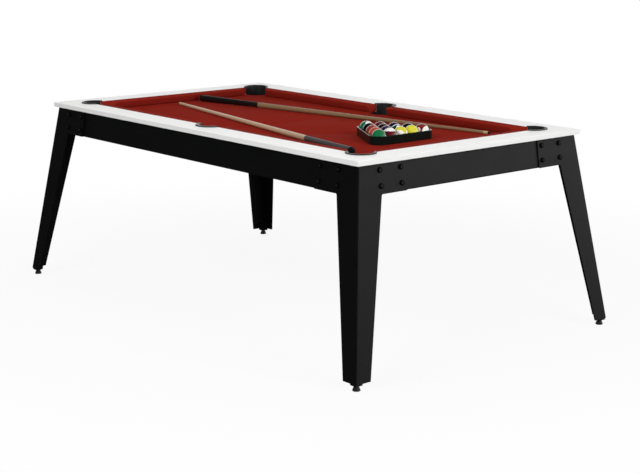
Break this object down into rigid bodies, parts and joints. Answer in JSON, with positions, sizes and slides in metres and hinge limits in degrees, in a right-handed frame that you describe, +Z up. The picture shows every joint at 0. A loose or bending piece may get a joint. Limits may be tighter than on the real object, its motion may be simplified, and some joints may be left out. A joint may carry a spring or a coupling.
{
  "type": "pool table",
  "caption": "Dining-height pool table with splayed folded-steel legs, drop pockets, two cues and a rack of balls on its cloth.",
  "frame": {"origin": "on the floor under the middle of the table", "axes": "+X along the table's length, +Y across it, +Z up"},
  "size_m": [2.2606, 1.363, 0.8215],
  "materials": {
    "rail_lacquer": "satin white lacquer",
    "slab_stone": "sawn",
    "bed_cloth": "woven wool cloth",
    "cushion": "rubber under woven cloth",
    "pocket_plastic": "moulded",
    "frame_steel": "satin black powder coat",
    "bolt_black": "black",
    "nut_zinc": "zinc plated",
    "rail_bolt_zinc": "zinc plated",
    "pad_nylon": "moulded",
    "stud_zinc": "zinc plated",
    "rack_plastic": "moulded",
    "cue_front_wood": "clear lacquer",
    "cue_rear_wood": "clear lacquer",
    "cue_front_grip": "wrapped",
    "cue_rear_grip": "wrapped",
    "cue_rubber": "moulded",
    "ball_1": "polished resin",
    "ball_2": "polished resin",
    "ball_3": "polished resin",
    "ball_4": "polished resin",
    "ball_5": "polished resin",
    "ball_6": "polished resin",
    "ball_7": "polished resin",
    "ball_8": "polished resin",
    "ball_9": "polished resin",
    "ball_10": "polished resin",
    "ball_11": "polished resin",
    "ball_12": "polished resin",
    "ball_13": "polished resin",
    "ball_14": "polished resin",
    "ball_15": "polished resin"
  },
  "bodies": {
    "table": {"apron_back": "frame_steel", "apron_front": "frame_steel", "apron_left": "frame_steel", "apron_right": "frame_steel", "bed_cloth": "bed_cloth", "bed_slab": "slab_stone", "cross_beams": "frame_steel", "cushion_back_left": "cushion", "cushion_back_right": "cushion", "cushion_front_left": "cushion", "cushion_front_right": "cushion", "cushion_left": "cushion", "cushion_right": "cushion", "leg_back_left": "frame_steel", "leg_back_right": "frame_steel", "leg_bolts": "bolt_black", "leg_front_left": "frame_steel", "leg_front_right": "frame_steel", "leg_nuts": "nut_zinc", "pocket_back_left": "pocket_plastic", "pocket_back_middle": "pocket_plastic", "pocket_back_right": "pocket_plastic", "pocket_front_left": "pocket_plastic", "pocket_front_middle": "pocket_plastic", "pocket_front_right": "pocket_plastic", "rail_back": "rail_lacquer", "rail_bolts": "rail_bolt_zinc", "rail_front": "rail_lacquer", "rail_left": "rail_lacquer", "rail_right": "rail_lacquer"},
    "pad_front_left": {"foot_pad_front_left": "pad_nylon"},
    "stud_front_left": {"foot_stud_front_left": "stud_zinc"},
    "pad_front_right": {"foot_pad_front_right": "pad_nylon"},
    "stud_front_right": {"foot_stud_front_right": "stud_zinc"},
    "pad_back_left": {"foot_pad_back_left": "pad_nylon"},
    "stud_back_left": {"foot_stud_back_left": "stud_zinc"},
    "pad_back_right": {"foot_pad_back_right": "pad_nylon"},
    "stud_back_right": {"foot_stud_back_right": "stud_zinc"},
    "rack": {"ball_rack": "rack_plastic"},
    "cue_front": {"cue_front_shaft": "cue_front_wood", "cue_front_grip": "cue_front_grip", "cue_front_bumper": "cue_rubber"},
    "cue_rear": {"cue_rear_shaft": "cue_rear_wood", "cue_rear_grip": "cue_rear_grip", "cue_rear_bumper": "cue_rubber"},
    "ball_1": {"ball_1": "ball_1"},
    "ball_2": {"ball_2": "ball_2"},
    "ball_3": {"ball_3": "ball_3"},
    "ball_4": {"ball_4": "ball_4"},
    "ball_5": {"ball_5": "ball_5"},
    "ball_6": {"ball_6": "ball_6"},
    "ball_7": {"ball_7": "ball_7"},
    "ball_8": {"ball_8": "ball_8"},
    "ball_9": {"ball_9": "ball_9"},
    "ball_10": {"ball_10": "ball_10"},
    "ball_11": {"ball_11": "ball_11"},
    "ball_12": {"ball_12": "ball_12"},
    "ball_13": {"ball_13": "ball_13"},
    "ball_14": {"ball_14": "ball_14"},
    "ball_15": {"ball_15": "ball_15"}
  },
  "joints": [
    {"name": "pad_front_left_slide", "type": "slide", "parent": "table", "child": "pad_front_left", "axis": [0, 0, -1], "range_m": [0, 0.012]},
    {"name": "stud_front_left_turn", "type": "hinge", "parent": "pad_front_left", "child": "stud_front_left", "pos_m": [-1.1095, -0.6607, 0.03], "axis": [0, 0, -1], "range_deg": [0, 2880.5]},
    {"name": "pad_front_right_slide", "type": "slide", "parent": "table", "child": "pad_front_right", "axis": [0, 0, -1], "range_m": [0, 0.012]},
    {"name": "stud_front_right_turn", "type": "hinge", "parent": "pad_front_right", "child": "stud_front_right", "pos_m": [1.1095, -0.6607, 0.03], "axis": [0, 0, -1], "range_deg": [0, 2880.5]},
    {"name": "pad_back_left_slide", "type": "slide", "parent": "table", "child": "pad_back_left", "axis": [0, 0, -1], "range_m": [0, 0.012]},
    {"name": "stud_back_left_turn", "type": "hinge", "parent": "pad_back_left", "child": "stud_back_left", "pos_m": [-1.1095, 0.6607, 0.03], "axis": [0, 0, -1], "range_deg": [0, 2880.5]},
    {"name": "pad_back_right_slide", "type": "slide", "parent": "table", "child": "pad_back_right", "axis": [0, 0, -1], "range_m": [0, 0.012]},
    {"name": "stud_back_right_turn", "type": "hinge", "parent": "pad_back_right", "child": "stud_back_right", "pos_m": [1.1095, 0.6607, 0.03], "axis": [0, 0, -1], "range_deg": [0, 2880.5]},
    {"name": "rack_lift", "type": "slide", "parent": "table", "child": "rack", "axis": [0, 0, 1], "range_m": [0, 0.1]},
    {"name": "cue_front_lift", "type": "slide", "parent": "table", "child": "cue_front", "axis": [0, 0, 1], "range_m": [0, 0.1]},
    {"name": "cue_rear_lift", "type": "slide", "parent": "table", "child": "cue_rear", "axis": [0, 0, 1], "range_m": [0, 0.1]},
    {"name": "ball_1_lift", "type": "slide", "parent": "table", "child": "ball_1", "axis": [0, 0, 1], "range_m": [0, 0.1]},
    {"name": "ball_2_lift", "type": "slide", "parent": "table", "child": "ball_2", "axis": [0, 0, 1], "range_m": [0, 0.1]},
    {"name": "ball_3_lift", "type": "slide", "parent": "table", "child": "ball_3", "axis": [0, 0, 1], "range_m": [0, 0.1]},
    {"name": "ball_4_lift", "type": "slide", "parent": "table", "child": "ball_4", "axis": [0, 0, 1], "range_m": [0, 0.1]},
    {"name": "ball_5_lift", "type": "slide", "parent": "table", "child": "ball_5", "axis": [0, 0, 1], "range_m": [0, 0.1]},
    {"name": "ball_6_lift", "type": "slide", "parent": "table", "child": "ball_6", "axis": [0, 0, 1], "range_m": [0, 0.1]},
    {"name": "ball_7_lift", "type": "slide", "parent": "table", "child": "ball_7", "axis": [0, 0, 1], "range_m": [0, 0.1]},
    {"name": "ball_8_lift", "type": "slide", "parent": "table", "child": "ball_8", "axis": [0, 0, 1], "range_m": [0, 0.1]},
    {"name": "ball_9_lift", "type": "slide", "parent": "table", "child": "ball_9", "axis": [0, 0, 1], "range_m": [0, 0.1]},
    {"name": "ball_10_lift", "type": "slide", "parent": "table", "child": "ball_10", "axis": [0, 0, 1], "range_m": [0, 0.1]},
    {"name": "ball_11_lift", "type": "slide", "parent": "table", "child": "ball_11", "axis": [0, 0, 1], "range_m": [0, 0.1]},
    {"name": "ball_12_lift", "type": "slide", "parent": "table", "child": "ball_12", "axis": [0, 0, 1], "range_m": [0, 0.1]},
    {"name": "ball_13_lift", "type": "slide", "parent": "table", "child": "ball_13", "axis": [0, 0, 1], "range_m": [0, 0.1]},
    {"name": "ball_14_lift", "type": "slide", "parent": "table", "child": "ball_14", "axis": [0, 0, 1], "range_m": [0, 0.1]},
    {"name": "ball_15_lift", "type": "slide", "parent": "table", "child": "ball_15", "axis": [0, 0, 1], "range_m": [0, 0.1]}
  ],
  "couplings": [
    {"joint": "stud_front_left_turn", "follows": "pad_front_left_slide", "rad_per_m": 4188.8},
    {"joint": "stud_front_right_turn", "follows": "pad_front_right_slide", "rad_per_m": 4188.8},
    {"joint": "stud_back_left_turn", "follows": "pad_back_left_slide", "rad_per_m": 4188.8},
    {"joint": "stud_back_right_turn", "follows": "pad_back_right_slide", "rad_per_m": 4188.8}
  ]
}
